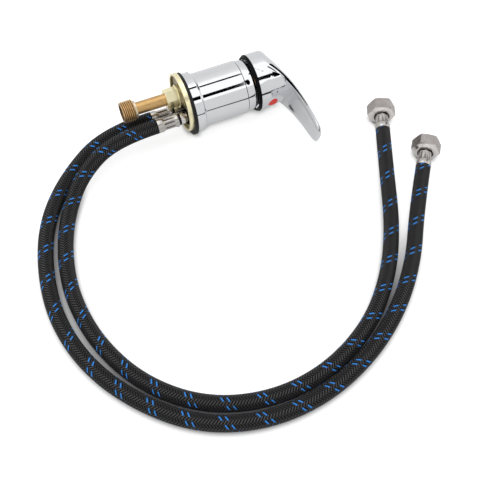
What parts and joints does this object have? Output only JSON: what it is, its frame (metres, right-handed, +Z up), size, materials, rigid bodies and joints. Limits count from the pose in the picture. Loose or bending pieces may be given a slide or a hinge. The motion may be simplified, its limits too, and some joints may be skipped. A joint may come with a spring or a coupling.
{
  "type": "shampoo basin faucet",
  "caption": "Single-lever basin mixer with a round body, hooded lever, threaded outlet tube and braided inlet hoses; mixes hot and cold water for a hair-wash basin.",
  "frame": {"origin": "middle of the faucet's box without its hoses, on the table it lies on", "axes": "+X along the body from the deck face to the lever, +Z up, -Y towards the loop of the hoses"},
  "size_m": [0.3985, 0.3503, 0.0617],
  "materials": {
    "chrome": "polished",
    "black_rubber": "matt",
    "black_plastic": "gloss",
    "pale_brass": "machined",
    "brass": "machined",
    "white_plastic": "satin",
    "grey_plastic": "satin",
    "ceramic": "polished",
    "steel": "satin",
    "nickel": "nickel plated",
    "red_plastic": "gloss",
    "braid": "woven nylon with blue tracers"
  },
  "bodies": {
    "faucet": {"faucet_body": "chrome", "bonnet": "chrome", "base_gasket": "black_rubber", "clamp_plate": "pale_brass", "fixing_nut": "pale_brass", "outlet_tube": "brass", "cartridge_nut": "brass", "cartridge_base": "white_plastic", "cartridge_seals": "black_rubber", "fixed_disc": "ceramic", "cartridge_housing": "grey_plastic", "hot_hose": "braid", "hot_inlet_tail": "nickel", "hot_inlet_seal": "black_rubber", "hot_inlet_ferrule": "steel", "hot_nut_ferrule": "steel", "hot_nut_tail": "nickel", "hot_nut_washer": "black_rubber", "cold_hose": "braid", "cold_inlet_tail": "nickel", "cold_inlet_seal": "black_rubber", "cold_inlet_ferrule": "steel", "cold_nut_ferrule": "steel", "cold_nut_tail": "nickel", "cold_nut_washer": "black_rubber"},
    "turret": {"cartridge_guide": "grey_plastic", "stem_pin": "steel"},
    "lever": {"lever_handle": "chrome", "skirt_ring": "black_plastic", "indicator_plug": "red_plastic", "handle_screw": "steel", "lever_stem": "brass"},
    "disc": {"disc_driver": "white_plastic", "moving_disc": "ceramic"},
    "hot_nut": {"hot_swivel_nut": "nickel"},
    "cold_nut": {"cold_swivel_nut": "nickel"}
  },
  "joints": [
    {"name": "lever_swivel", "type": "hinge", "parent": "faucet", "child": "turret", "pos_m": [0.0355, 0.02319, 0.0305], "axis": [1, 0, 0], "range_deg": [0, 102.4]},
    {"name": "lever_tilt", "type": "hinge", "parent": "turret", "child": "lever", "pos_m": [0.0355, 0.02319, 0.0305], "axis": [0, -0.2215, 0.9751], "range_deg": [0, 22]},
    {"name": "disc_slide", "type": "slide", "parent": "turret", "child": "disc", "axis": [0, -0.9751, -0.2215], "range_m": [0, 0.005]},
    {"name": "hot_nut_spin", "type": "hinge", "parent": "faucet", "child": "hot_nut", "pos_m": [0.15415, -0.04534, 0.012], "axis": [0.4067, 0.9135, 0], "continuous": true},
    {"name": "cold_nut_spin", "type": "hinge", "parent": "faucet", "child": "cold_nut", "pos_m": [0.17231, -0.1023, 0.012], "axis": [0.5878, 0.809, 0], "continuous": true}
  ],
  "couplings": [
    {"joint": "disc_slide", "follows": "lever_tilt", "m_per_rad": 0.013}
  ]
}
